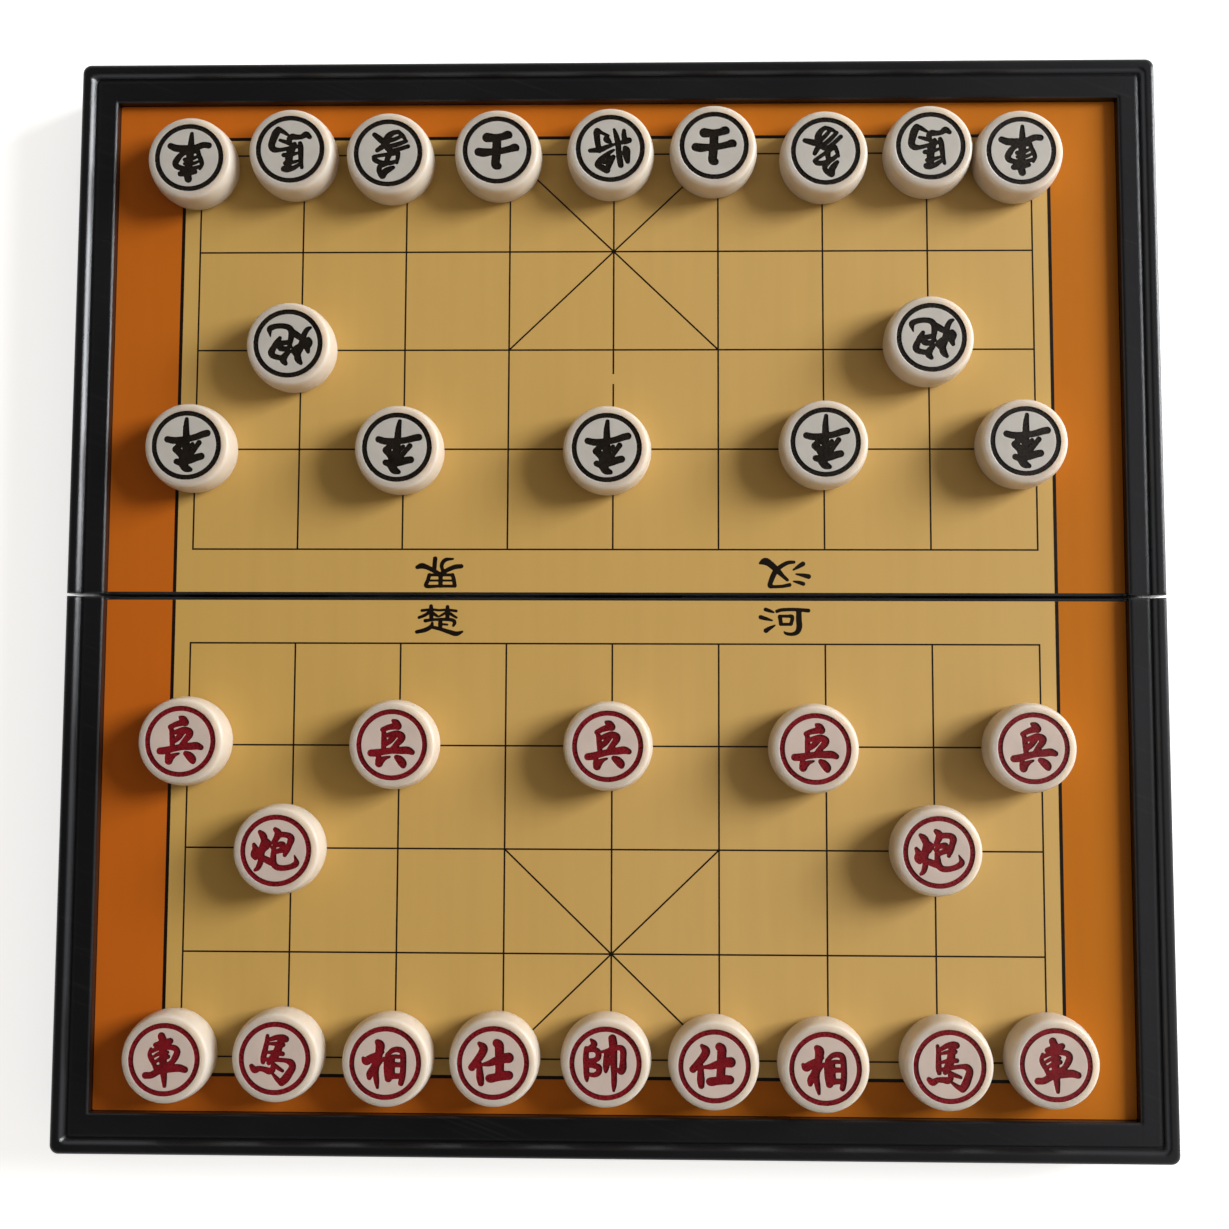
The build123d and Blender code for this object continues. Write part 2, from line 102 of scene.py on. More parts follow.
# Rank marks and river marks, stroke by stroke. A stroke is a chain of (x, y, half width) in mm, y up.
MARKS = {
    "chariot": [
        [(-.3, 6.5, .75), (.1, 5, .8), (.1, 2, .75), (.1, -2, .75), (.3, -5, .6), (.4, -7.2, .4)],
        [(-2, 4.1, .5), (0, 4.6, .65), (2.2, 5.1, .6)],
        [(-3.3, 3, .35), (-3.7, 1.6, .45), (-3.2, .2, .5), (-2.6, -.8, .5), (-2.1, -2.2, .45)],
        [(-3.2, 2.4, .4), (-1, 3.2, .45), (1.5, 3.4, .5), (3.4, 3.1, .6), (4.1, 2.1, .65), (3.6, .7, .65),
         (2.6, -.7, .55), (1, -1.5, .45), (-1.7, -1.9, .35)],
        [(-2.6, .9, .3), (-1, 1.7, .4), (1.4, 2, .35)],
        [(-2.3, -.6, .3), (-.5, .3, .45), (1.5, .8, .45)],
        [(-5, -4.2, .65), (-3.2, -4.1, .65), (-1, -3, .7), (2, -2.5, .75), (4.5, -2.4, .75),
         (6.2, -2.9, .65)]],
    "horse": [
        [(-4.1, 5.8, .4), (-3.7, 4, .5), (-3.4, 1.5, .6), (-3.2, -.5, .6), (-2.9, -1.7, .5)],
        [(-3, 5.1, .45), (-1.4, 6.2, .55), (.3, 6.9, .55), (1.3, 6.6, .7)],
        [(.4, 6.3, .7), (.1, 4.6, .8), (.1, 3, .85), (-.1, 1.5, .85), (-.6, 0, .8), (-1.2, -1.4, .5)],
        [(-2.9, 3.8, .3), (-1, 4.4, .45), (1.1, 4.8, .5)],
        [(-2.8, 1.2, .3), (-.8, 1.9, .45), (1.8, 2.3, .5)],
        [(-3, -.9, .35), (-1, -.4, .5), (1.2, .3, .45), (3.4, .8, .5), (5, .7, .7), (5.8, -.4, .75),
         (5.5, -2.2, .8), (4.9, -4.2, .85), (4.2, -5.5, .75)],
        [(4.2, -5.7, .6), (2.6, -5, .5), (.9, -4, .3)],
        [(0, -1.3, .45), (1.8, -1.9, .45), (3.4, -2.3, .35)],
        [(-5.7, -3.9, .5), (-4.5, -4.6, .7), (-3.2, -3.8, .55), (-1.6, -3.6, .6), (-.3, -3.6, .7),
         (.6, -2.9, .55), (.2, -2, .45)]],
    "elephant_black": [
        [(1.3, 7.2, .7), (.6, 6, .7), (-.6, 5.2, .6), (-1.8, 4.6, .4)],
        [(1.6, 6.9, .7), (2.4, 5.6, .55), (2.1, 4.3, .55), (.6, 3.6, .5)],
        [(-2.8, 3.1, .35), (-3, 1.6, .45), (-3.1, .2, .45)],
        [(-2.7, 2.7, .4), (-.5, 3.3, .5), (2, 3.2, .5), (3.7, 2.5, .55), (4.2, 1.6, .45)],
        [(-3, .2, .4), (-.8, .5, .45), (1.6, .9, .4), (4, 1.4, .4)],
        [(.4, 3.4, .55), (0, 1.8, .55), (-.6, .4, .6)],
        [(-1.2, .1, .55), (.2, -1.4, .65), (.7, -3.2, .7), (.2, -4.8, .7), (-1.2, -6, .55),
         (-2.8, -6.4, .45)],
        [(-2.8, -6.4, .45), (-4.2, -5.2, .45), (-5.2, -3.8, .3)],
        [(-.6, -.4, .45), (-3, -1, .45), (-5.9, -2, .45)],
        [(0, -1.8, .45), (-2.6, -2.5, .5), (-5.3, -3.6, .4)],
        [(.4, -3.3, .45), (-1.8, -4.1, .45), (-3.9, -5.1, .35)],
        [(3.3, -.5, .45), (2, -1.5, .55), (.5, -2.4, .45)],
        [(1, -2.6, .5), (2.4, -3.8, .65), (4.3, -5.3, .5)]],
    "advisor_black": [
        [(-.4, 5.5, .8), (.4, 5.1, .95), (.3, 3, 1), (.1, 0, 1), (.1, -2.8, 1)],
        [(-6, .3, .5), (-5.4, -.2, .9), (-4, .2, .8), (-1.5, .8, .75), (1.5, 1.1, .8), (4, 1.3, 1),
         (5.5, 1.1, .95)],
        [(-3.9, -3.7, .5), (-3.2, -4.1, .95), (-1.8, -3.6, .85), (.5, -3.2, .9), (3, -3.3, 1.1)]],
    "general_black": [
        [(-5.1, 4.3, .5), (-4.8, 2.6, .75), (-4.7, 1, .8), (-4.3, .2, .5)],
        [(-3.1, 5.4, .6), (-2.8, 3.6, .65), (-2.5, 1.4, .6), (-2.3, -.8, .6), (-1.8, -3.2, .55),
         (-1.1, -5.4, .3)],
        [(-4.6, 1.2, .5), (-3.2, 2, .4)],
        [(-5.5, -2.1, .6), (-4.4, -1.7, .6), (-3.2, -1.4, .45), (-2, -1, .35)],
        [(-4.3, -1.8, .6), (-4, -3.6, .55), (-4, -5, .4)],
        [(1, 6.8, .75), (2.2, 6.2, .7), (3.7, 5.3, .6), (3, 4.1, .7), (1.8, 2.9, .6), (.2, 1.6, .45),
         (-1.1, .8, .25)],
        [(.9, 6.5, .6), (.1, 4.8, .6), (-.9, 2.9, .5)],
        [(.6, 4.6, .45), (1.8, 4.4, .5)],
        [(-.2, 3.1, .45), (.9, 3.1, .5)],
        [(-1.2, -.9, .3), (1, -.1, .5), (3, .7, .6), (5.9, 1, .45)],
        [(3.2, 1, .55), (3.6, -.8, .6), (3.9, -3, .65), (3.9, -4.9, .65), (2.6, -4.4, .4), (.6, -3.5, .3)],
        [(0, -1.5, .35), (1, -2.3, .7), (1.3, -3, .4)]],
    "soldier_black": [
        [(-1.1, 7.5, .5), (.2, 7, .85), (1.1, 5.8, .9)],
        [(-4.3, 3.7, .75), (-3, 4, .8), (-1, 4.7, .8), (1.5, 5.2, .8), (2.9, 5, .65)],
        [(-1, 3.4, .55), (-2, 2.1, .55), (-3, .7, .55), (-3.7, -.3, .6)],
        [(1.1, 4.2, .7), (1.7, 2.7, .8), (3, 1.4, .8)],
        [(2.9, 1.2, .7), (1.8, .1, .7), (.4, -.7, .5)],
        [(.6, 3.4, .5), (-.6, 1.5, .5), (-1.8, 0, .45)],
        [(-6.1, -3, .75), (-4.8, -2.7, .75), (-2.4, -1.9, .7), (.5, -1.4, .7), (3.5, -1.2, .75),
         (5.5, -1.6, .7)],
        [(.2, 3.3, .7), (.1, 0, .8), (0, -2.5, .75), (0, -5, .65), (-.2, -7.3, .45)]],
    "cannon": [
        [(-6, 2.8, .4), (-5.7, 1.4, .65), (-6.2, .1, .75), (-6, -.9, .5)],
        [(-3.9, 6.2, .4), (-3.1, 5, .7), (-2.9, 3.4, .7), (-3.6, 1.6, .75), (-4.2, 0, .65), (-4.6, -2, .6),
         (-5.6, -3.8, .5), (-6.6, -4.4, .3)],
        [(-2, 3.4, .4), (-1.5, 2.4, .45), (-2.6, 1.4, .45), (-3.6, .8, .4)],
        [(-4.2, -1, .5), (-3, -1.9, .65), (-1.9, -2.7, .65), (-.9, -3.4, .6)],
        [(.6, 6.3, .45), (1.3, 5.2, .7), (.8, 4, .65), (-.5, 2.7, .4)],
        [(1.1, 4.7, .6), (2.8, 4.5, .55), (4.4, 3.9, .6), (4.8, 2.9, .7), (4.1, 1.4, .6),
         (3.3, .1, .6), (2.4, -1.3, .4)],
        [(-.9, 1.2, .35), (.6, 1.9, .5), (2.2, 1.7, .6), (2.2, .8, .5)],
        [(-.6, -.1, .5), (.8, .1, .5), (2.2, .3, .6)],
        [(-.4, 1.2, .45), (-.9, -1.4, .6), (-1, -3.2, .65), (-.2, -4.4, .6), (1.6, -4.9, .55),
         (3.8, -4.8, .55),
         (5.4, -4.1, .6), (5.4, -2.9, .35), (5.2, -1.8, .15)]],
    "soldier_red": [
        [(-.5, 6.9, .35), (.5, 6.3, .8), (1.1, 5.5, .85)],
        [(-3.1, 4, .55), (-1.6, 4.8, .6), (.6, 5.5, .75)],
        [(-3, 4, .5), (-2.6, 2.8, .55), (-2.4, 1, .6), (-2.2, -1.4, .55)],
        [(-2.4, 2.3, .4), (-.8, 2.8, .6), (1, 3.3, .7), (2.5, 2.8, .8), (2.5, 1.8, .75),
         (1.4, .3, .65), (.4, -1.2, .6)],
        [(.5, 2.5, .6), (-.5, 1.2, .65), (-1.7, -.1, .45)],
        [(-5.7, -3, .75), (-4.2, -2.8, .8), (-2, -2.2, .7), (.5, -1.6, .7), (3, -1.3, .8), (4.8, -1.1, .8),
         (6.1, -1.5, .6)],
        [(-.2, -3.5, .25), (-1.4, -4, .45), (-2.5, -4.8, .75), (-3, -5.7, .85)],
        [(-3.3, -4, .6), (-3.4, -5, .6)],
        [(1.8, -3.4, .55), (2.8, -4, .85), (3.7, -4.9, .9), (4, -5.6, .6)]],
    "elephant_red": [
        [(-2, 6.3, .6), (-1.3, 5.4, .95), (-1.5, 3.6, .85), (-2, 1, .7), (-2.4, -1.6, .65),
         (-2.2, -4, .6), (-1.9, -6, .35)],
        [(-6, 1.9, .35), (-5.2, 1.1, .8), (-4.2, 1.6, .85), (-2.6, 2.5, .7), (-.6, 3.6, .4)],
        [(-2.4, 1, .6), (-3.2, -.7, .65), (-4, -2.3, .75), (-4.2, -3.4, .5)],
        [(-.3, 1.8, .4), (-1.2, .8, .4), (-2, -.4, .4)],
        [(.8, 2.9, .5), (.7, 1, .7), (.8, -1.5, .75), (1.1, -3.6, .75)],
        [(.8, 2.9, .45), (2.2, 4.1, .55), (3.8, 4.3, .6), (5, 3.5, .65), (5.2, 0, .65), (5, -3, .65),
         (4.6, -4.8, .6)],
        [(1, 2.1, .45), (2.8, 2.4, .45), (4.9, 2.3, .4)],
        [(1, -.1, .6), (2.8, .2, .55), (4.9, .1, .5)],
        [(1, -3.1, .65), (2.8, -2.9, .6), (4.7, -2.9, .55)],
        [(2.1, 2, .6), (2.1, -1, .6), (2.2, -3, .6)]],
    "advisor_red": [
        [(-3.6, 5.5, .4), (-2.4, 4.3, .85), (-2.7, 2.9, .85), (-4.1, .8, .8), (-5.6, -1.1, .75)],
        [(-3.4, -.1, .5), (-3.4, -2, .7), (-3.2, -4, .8), (-3, -5.4, .65)],
        [(1.3, 5.6, .85), (2, 5, .95), (2.1, 3, .95), (2.2, .5, .9), (2.2, -2.8, .9)],
        [(-2.6, -.3, .35), (-.8, 0, .6), (1, .7, .8), (3, 1.4, .95), (4.7, 1.6, 1.05)],
        [(-1.2, -3.8, .4), (-.5, -4.1, .85), (1, -3.8, .85), (3, -3.3, .95), (4.8, -3.2, .9)]],
    "general_red": [
        [(-3.7, 6.4, .3), (-2.9, 5.5, .6), (-2.9, 4.9, .6), (-4, 4.1, .55), (-4.9, 3.2, .5)],
        [(-5, 4, .5), (-5.1, 1.5, .6), (-5, -1, .6), (-4.9, -3.4, .55), (-4.8, -4.7, .3)],
        [(-4.6, 3.5, .4), (-3, 3.7, .5), (-1.8, 3.2, .6), (-1.7, 1.7, .6), (-2.7, .9, .5), (-4.4, .8, .4)],
        [(-4.6, -.5, .45), (-2.8, -.6, .55), (-1.5, -1.1, .6), (-1.6, -2.4, .6), (-2.7, -3.1, .5),
         (-4.4, -3, .4)],
        [(-2.6, -.8, .5), (-3, .6, .5)],
        [(.6, 2.9, .5), (.6, 1, .65), (.5, -.8, .65), (.4, -2.1, .4)],
        [(-1.2, 3.1, .25), (.6, 3.4, .4), (2.4, 4.1, .45), (4.4, 4.3, .55), (5.2, 3.4, .65), (5.2, 1, .65),
         (5.1, -1.2, .75), (4.6, -2.2, .6), (3.6, -1.6, .35)],
        [(2.2, 6.8, .8), (2.4, 5.4, .85), (2.5, 3, .75), (2.6, 0, .7), (2.7, -3, .6),
         (2.7, -5.5, .55), (2.6, -7.3, .3)]],
    "river_first": [
        [(-2.3, 4, .5), (-2.2, 2, .6), (-2.2, .3, .55)],
        [(-4.9, 2.7, .4), (-2.2, 3, .35), (-.2, 2.8, .35)],
        [(-2.6, 2.4, .45), (-4, 1.4, .45), (-5.7, .7, .4)],
        [(-1.7, 2, .4), (-.8, 1.3, .4), (-.2, 1, .25)],
        [(2.4, 3.8, .5), (2.4, 2, .6), (2.4, .4, .55)],
        [(.2, 2.8, .35), (2.4, 2.9, .35), (4.9, 2.6, .4)],
        [(2, 2.2, .35), (.9, 1.5, .35), (0, 1, .25)],
        [(2.8, 2.1, .45), (4, 1.3, .4), (5, .7, .3)],
        [(-3.9, -.2, .5), (-1.5, .1, .4), (1.5, .2, .45), (3.8, 0, .5), (4.5, -.7, .5), (4.1, -1.6, .35)],
        [(.4, .1, .55), (.4, -1.4, .6), (.4, -2.3, .5)],
        [(1, -1.2, .3), (2.4, -1.3, .3)],
        [(-1.9, -.8, .35), (-2.2, -1.8, .55), (-3.8, -2.8, .6), (-6.3, -3.4, .5)],
        [(-2, -2, .45), (.5, -2.6, .5), (3, -3.4, .6), (5, -3.9, .65), (6.7, -3.3, .3)]],
    "river_second": [
        [(-5.2, 3.3, .45), (-4, 2.9, .38), (-2.9, 2.5, .2)],
        [(-6.6, 1.1, .5), (-5.2, .7, .42), (-3.4, .2, .2)],
        [(-5.1, -2.7, .55), (-4.2, -2.1, .45), (-2.6, -1.2, .2)],
        [(-2, 2.8, .4), (-.5, 3.2, .4), (3, 3.3, .4), (6.9, 3, .45)],
        [(4.2, 3, .6), (4.2, .5, .65), (4.3, -1.6, .65), (3.7, -3.1, .55), (2.2, -3.7, .4),
         (.6, -3.5, .35), (0, -3, .15)],
        [(-1.2, 1.3, .45), (-1, .2, .45), (-.9, -.8, .45)],
        [(-1.1, 1.4, .35), (.8, 1.4, .35), (2.3, 1.2, .45), (2, -.8, .4)],
        [(-.9, -.9, .35), (2, -.9, .35)]],
    "river_third": [
        [(-5.4, 3.1, .45), (-4.2, 2.7, .4), (-2.7, 2.4, .2)],
        [(-6.9, 1, .55), (-5.6, .7, .45), (-3.4, .3, .2)],
        [(-5.3, -2.6, .55), (-4.2, -1.9, .45), (-2.6, -.9, .2)],
        [(-1.5, 3.4, .45), (.6, 3.8, .38), (3, 3.9, .38), (4, 3.6, .55), (3.7, 2.2, .55), (2.6, -.2, .6),
         (1, -1.8, .5), (-1, -2.9, .45), (-2.8, -3.1, .35)],
        [(-.9, 2, .35), (.4, .8, .45), (2, -.8, .65), (4, -2.6, .75), (5.4, -3.3, .8), (6.8, -2.8, .3)]],
    "river_fourth": [
        [(-4.6, 3.8, .45), (-4.3, 2, .45), (-3.9, .7, .45)],
        [(-4.6, 3.9, .35), (0, 3.9, .35), (3.5, 3.9, .45), (3.1, 2.2, .45), (2.7, .7, .45)],
        [(-4.2, 2.3, .25), (3, 2.3, .25)],
        [(-3.9, .7, .35), (2.7, .7, .35)],
        [(-.5, 3.8, .5), (-.5, .4, .5)],
        [(-.8, .3, .5), (-2.6, -.8, .5), (-4.6, -1.6, .55), (-6.4, -1.8, .5)],
        [(0, .3, .45), (1.6, -.6, .5), (3.4, -1.5, .55), (4.9, -1.9, .65), (6.2, -1.5, .45)],
        [(-1, -.8, .4), (-.8, -2.2, .45), (-1.8, -3.6, .45), (-4, -3.9, .25)],
        [(1.3, -1.2, .5), (1.2, -2.8, .5), (1.1, -4, .5)]],
}

# How far each disc is turned from square to its player, in degrees, as a hand leaves it
DISC_TURN = {
    "black_chariot_left": -6, "black_horse_left": -4, "black_elephant_left": -2, "black_advisor_left": 0,
    "black_general": 0, "black_advisor_right": -1, "black_elephant_right": 24, "black_horse_right": 0,
    "black_chariot_right": -4, "black_cannon_left": 0, "black_cannon_right": 4, "black_soldier_1": 2,
    "black_soldier_2": -4, "black_soldier_3": 0, "black_soldier_4": 0, "black_soldier_5": -2,
    "red_soldier_1": -2, "red_soldier_2": -6, "red_soldier_3": 0, "red_soldier_4": -6, "red_soldier_5": 0,
    "red_cannon_left": 8, "red_cannon_right": 14, "red_chariot_left": 2, "red_horse_left": -18,
    "red_elephant_left": 0, "red_advisor_left": 0, "red_general": 0, "red_advisor_right": -4,
    "red_elephant_right": 2, "red_horse_right": -6, "red_chariot_right": 2,
}

# How heavy and how large each rank mark is cut, and how far its middle lies from the disc's, in mm
MARK_FIT = {
    "chariot": (1.48, 0.97, -0.3, 0), "horse": (1.46, 0.93, 0, -0.3), "cannon": (1.52, 0.96, 0, -0.3),
    "elephant_black": (1.52, 0.95, 0, -0.15), "advisor_black": (1.36, 0.95, 0, -0.5),
    "general_black": (1.46, 0.97, 0, -0.3), "soldier_black": (1.38, 0.97, 0, -0.3),
    "elephant_red": (1.38, 0.98, -0.15, -0.6), "advisor_red": (1.40, 0.97, -0.3, -0.15),
    "general_red": (1.44, 0.98, -0.3, 0), "soldier_red": (1.38, 0.96, 0, 0),
}


# Shapes

def stroke_pieces(strokes, weight, steps=8):
    """Short straight pieces along each stroke: a cube-law spline through the chain's points, whose slope at
    a point is half the step from the point before to the one after, with the half width times the weight
    carried along it. Each row is x, y, half width at one end, then at the other."""
    rows = []
    for stroke in strokes:
        chain = np.array(stroke, float)
        chain[:, 2] *= weight
        chain = np.vstack([2 * chain[0] - chain[1], chain, 2 * chain[-1] - chain[-2]])
        before, start, end, after = chain[:-3, None], chain[1:-2, None], chain[2:-1, None], chain[3:, None]
        t = (np.arange(steps) / steps)[None, :, None]
        line = 0.5 * (2 * start + (end - before) * t + (2 * before - 5 * start + 4 * end - after) * t**2
                      + (3 * start - before - 3 * end + after) * t**3)
        line = np.vstack([line.reshape(-1, 3), chain[-2:-1]])
        rows.append(np.hstack([line[:-1], line[1:]]))
    return np.vstack(rows)


def distance_to_strokes(pieces, points):
    """Distance from each point to the edge of the nearest stroke piece, less than 0 inside: the distance
    to the piece's middle line less the half width there."""
    best = np.full(len(points), 1e9)
    for x0, y0, r0, x1, y1, r1 in pieces:
        along = np.array([x1 - x0, y1 - y0])
        rel = points - (x0, y0)
        share = np.clip(rel @ along / max(along @ along, 1e-9), 0, 1)
        gap = np.hypot(rel[:, 0] - share * along[0], rel[:, 1] - share * along[1])
        best = np.minimum(best, gap - (r0 + share * (r1 - r0)))
    return best


def outline_of(pieces, reach):
    """Edge of the strokes as points and pairs of points: where the distance changes sign along the lines
    of a square grid, joined across each square."""
    axis = np.arange(-reach, reach + GRID_PITCH / 2, GRID_PITCH) + GRID_SHIFT
    xs, ys = np.meshgrid(axis, axis)
    height = distance_to_strokes(pieces, np.column_stack([xs.ravel(), ys.ravel()])).reshape(xs.shape)
    inside = height < 0
    flat = inside[:, :-1] != inside[:, 1:]
    upright = inside[:-1] != inside[1:]
    share = height[:, :-1] / (height[:, :-1] - height[:, 1:] + 1e-12)
    rise = height[:-1] / (height[:-1] - height[1:] + 1e-12)
    on_flat = np.column_stack([(xs[:, :-1] + share * GRID_PITCH)[flat], ys[:, :-1][flat]])
    on_upright = np.column_stack([xs[:-1][upright], (ys[:-1] + rise * GRID_PITCH)[upright]])
    flat_id = np.full(flat.shape, -1)
    flat_id[flat] = np.arange(flat.sum())
    upright_id = np.full(upright.shape, -1)
    upright_id[upright] = np.arange(upright.sum()) + flat.sum()
    sides = np.stack([flat_id[:-1], upright_id[:, 1:], flat_id[1:], upright_id[:, :-1]], axis=-1)
    sides = sides.reshape(-1, 4)
    crossed = (sides >= 0).sum(axis=1)
    simple = np.sort(sides[crossed == 2], axis=1)[:, 2:]
    double = sides[crossed == 4]
    pairs = np.vstack([simple, double[:, :2], double[:, 2:]])
    return np.vstack([on_flat, on_upright]), pairs


def circle_points(radius, steps):
    """Points round a circle, cosine and sine times the radius, and the pairs that join them."""
    ids = np.arange(steps)
    angle = ids * 2 * np.pi / steps
    return np.column_stack([np.cos(angle), np.sin(angle)]) * radius, np.column_stack([ids, np.roll(ids, -1)])


def triangulate(parts):
    """Triangles over the plane that keep every given pair of points as an edge, all turned to face up.
    Those without area are dropped."""
    points = np.vstack([p for p, e in parts])
    starts = np.cumsum([0] + [len(p) for p, e in parts[:-1]])
    edges = np.vstack([e + s for (p, e), s in zip(parts, starts)])
    found = delaunay_2d_cdt([Vector(p) for p in points.tolist()], edges.tolist(), [], 0, 1e-5, False)
    flat = np.array([tuple(v) for v in found[0]])
    faces = np.array(found[2])
    a, b, c = (flat[faces[:, k]] for k in range(3))
    area = (b[:, 0] - a[:, 0]) * (c[:, 1] - a[:, 1]) - (b[:, 1] - a[:, 1]) * (c[:, 0] - a[:, 0])
    faces = np.where((area < 0)[:, None], faces[:, ::-1], faces)
    return flat, faces[np.abs(area) > 1e-9]


def sunk_plate(flat, faces, low, top_z, low_z):
    """A cut plane with parts at two heights: faces where low is True lie at low_z, the others at top_z, and
    a wall stands on every edge between the two. Returns points, triangles and a kind for each: 0 high,
    1 low, 2 wall."""
    count = len(flat)
    points = np.vstack([np.column_stack([flat, np.full(count, z)]) for z in (top_z, low_z)])
    shifted = faces + np.where(low, count, 0)[:, None]
    half = np.vstack([faces[:, [0, 1]], faces[:, [1, 2]], faces[:, [2, 0]]])
    owner = np.tile(low, 3)
    key = half.min(axis=1) * count + half.max(axis=1)
    order = np.argsort(key, kind="stable")
    same = key[order][:-1] == key[order][1:]
    first, second = order[:-1][same], order[1:][same]
    differ = owner[first] != owner[second]
    high = np.where(owner[first], second, first)[differ]
    a, b = half[high, 0], half[high, 1]
    walls = np.vstack([np.column_stack([b, a, a + count]), np.column_stack([b, a + count, b + count])])
    kinds = np.concatenate([low.astype(int), np.full(len(walls), 2)])
    return points, np.vstack([shifted, walls]), kinds


def turned(profile, steps):
    """A profile of (radius, height) carried round the upright axis, its first point closed to a pole: each
    point goes to radius times cosine and sine of the angle, at its height. Returns points, four-sided
    faces and the fan at the pole. They face out where the profile runs from below outwards and up."""
    angle = np.arange(steps) * 2 * np.pi / steps
    radius, height = np.array(profile[1:], float).T
    ring = np.stack([radius[:, None] * np.cos(angle), radius[:, None] * np.sin(angle),
                     np.repeat(height[:, None], steps, axis=1)], axis=-1).reshape(-1, 3)
    points = np.vstack([ring, [[0, 0, profile[0][1]]]])
    row, col = np.meshgrid(np.arange(len(radius) - 1), np.arange(steps), indexing="ij")
    here, there = row * steps + col, row * steps + (col + 1) % steps
    quads = np.stack([here, there, there + steps, here + steps], axis=-1).reshape(-1, 4)
    col = np.arange(steps)
    fan = np.column_stack([np.full(steps, len(ring)), (col + 1) % steps, col])
    return points, quads, fan


def arc(centre, radius, start, end, steps):
    """Points on an arc from one angle to another, in degrees."""
    angle = np.radians(np.linspace(start, end, steps))
    return [(centre[0] + radius * np.cos(a), centre[1] + radius * np.sin(a)) for a in angle]


def disc_profile():
    """Side of a disc: pocket roof, pocket wall, flat foot, heel, bellied side and full shoulder, up to the
    flat top. The belly is the arc through its three places. The shoulder is a cube-law curve that leaves
    the belly at its slope and ends on a gentle fall beside the ring, and a square-law curve eases that
    into the flat."""
    low, mid, high = np.array(DISC_BELLY)
    squares = np.array([mid @ mid - low @ low, high @ high - mid @ mid])
    belly_centre = np.linalg.solve(2 * np.array([mid - low, high - mid]), squares)
    belly_radius = np.hypot(*(mid - belly_centre))
    start, end = (np.degrees(np.arctan2(*(p - belly_centre)[::-1])) for p in (low, high))
    belly = arc(belly_centre, belly_radius, start + HEEL_TURN, end, 12)[1:]

    up_side = np.array([belly_centre[1] - high[1], high[0] - belly_centre[0]]) / belly_radius
    fall = np.array([np.cos(SHOULDER_FALL), -np.sin(SHOULDER_FALL)])
    edge = np.array([SHOULDER_RADIUS, DISC_HEIGHT - BROW_REACH * np.tan(SHOULDER_FALL)])
    t = np.linspace(0, 1, 13)[1:, None]
    shoulder = (1 - t)**3 * high + 3 * t * (1 - t)**2 * (high + SHOULDER_ARMS[0] * up_side)
    shoulder = shoulder + 3 * t**2 * (1 - t) * (edge + SHOULDER_ARMS[1] * fall) + t**3 * edge
    t = np.linspace(0, 1, 7)[1:, None]
    meet = np.array([SHOULDER_RADIUS - BROW_REACH, DISC_HEIGHT])
    flat = np.array([DISC_FLAT_RADIUS, DISC_HEIGHT])
    brow = (1 - t)**2 * edge + 2 * t * (1 - t) * meet + t**2 * flat

    pocket = [(0, POCKET_DEPTH), (POCKET_FAN, POCKET_DEPTH), (POCKET_RADIUS, POCKET_DEPTH),
              (POCKET_RADIUS, POCKET_EDGE), (POCKET_RADIUS + POCKET_EDGE, 0)]
    foot = arc(FOOT_CENTRE, EDGE_RADIUS, -90, HEEL_ANGLE, 4)
    heel = arc(HEEL_CENTRE, EDGE_RADIUS, HEEL_ANGLE, 2, 4)
    return pocket + foot + heel + belly + [tuple(p) for p in np.vstack([shoulder, brow])]


def make_mesh(name, points, face_sets, materials):
    """A smooth-shaded mesh in metres from points in millimetres and (faces, material index) sets."""
    mesh = bpy.data.meshes.new(name)
    faces = [face for group, kind in face_sets for face in group.tolist()]
    mesh.from_pydata((points * MM).tolist(), [], faces)
    slots = np.concatenate([np.broadcast_to(kind, len(group)) for group, kind in face_sets]).astype(np.int32)
    mesh.polygons.foreach_set("material_index", slots)
    mesh.polygons.foreach_set("use_smooth", np.ones(len(faces), bool))
    for material in materials:
        mesh.materials.append(material)
    mesh.update()
    mesh.validate()
    return mesh


def tidy(mesh, merge=0.000002, fold=32):
    """Merges doubled points, and marks edges that fold more than the given degrees as sharp."""
    work = bmesh.new()
    work.from_mesh(mesh)
    bmesh.ops.remove_doubles(work, verts=work.verts, dist=merge)
    work.to_mesh(mesh)
    work.free()
    mesh.set_sharp_from_angle(angle=np.radians(fold))
    return mesh


def add_piece(mesh, body, slot_name, *nodes):
    """An object for the mesh that rides on a body and may stand for nodes. Its slot name is not used."""
    piece = bpy.data.objects.new(mesh.name, mesh)
    bpy.context.scene.collection.objects.link(piece)
    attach(piece, body)
    if nodes:
        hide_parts(*nodes)
    return piece


# Finishes

def node_group(name, inputs, outputs):
    """An empty shader group with these named sockets. Returns it, its nodes, its links and both ends."""
    group = bpy.data.node_groups.new(name, "ShaderNodeTree")
    for label, kind, value in inputs:
        socket = group.interface.new_socket(label, in_out="INPUT", socket_type=kind)
        if value is not None:
            socket.default_value = value
    for label, kind in outputs:
        group.interface.new_socket(label, in_out="OUTPUT", socket_type=kind)
    given, out = group.nodes.new("NodeGroupInput"), group.nodes.new("NodeGroupOutput")
    return group, group.nodes, group.links, given, out


def add_node(nodes, kind, **settings):
    """A node with its properties, and its inputs by name or number, set."""
    node = nodes.new(kind)
    inputs = settings.pop("inputs", {})
    for label, value in settings.items():
        setattr(node, label, value)
    for label, value in inputs.items():
        node.inputs[label].default_value = value
    return node


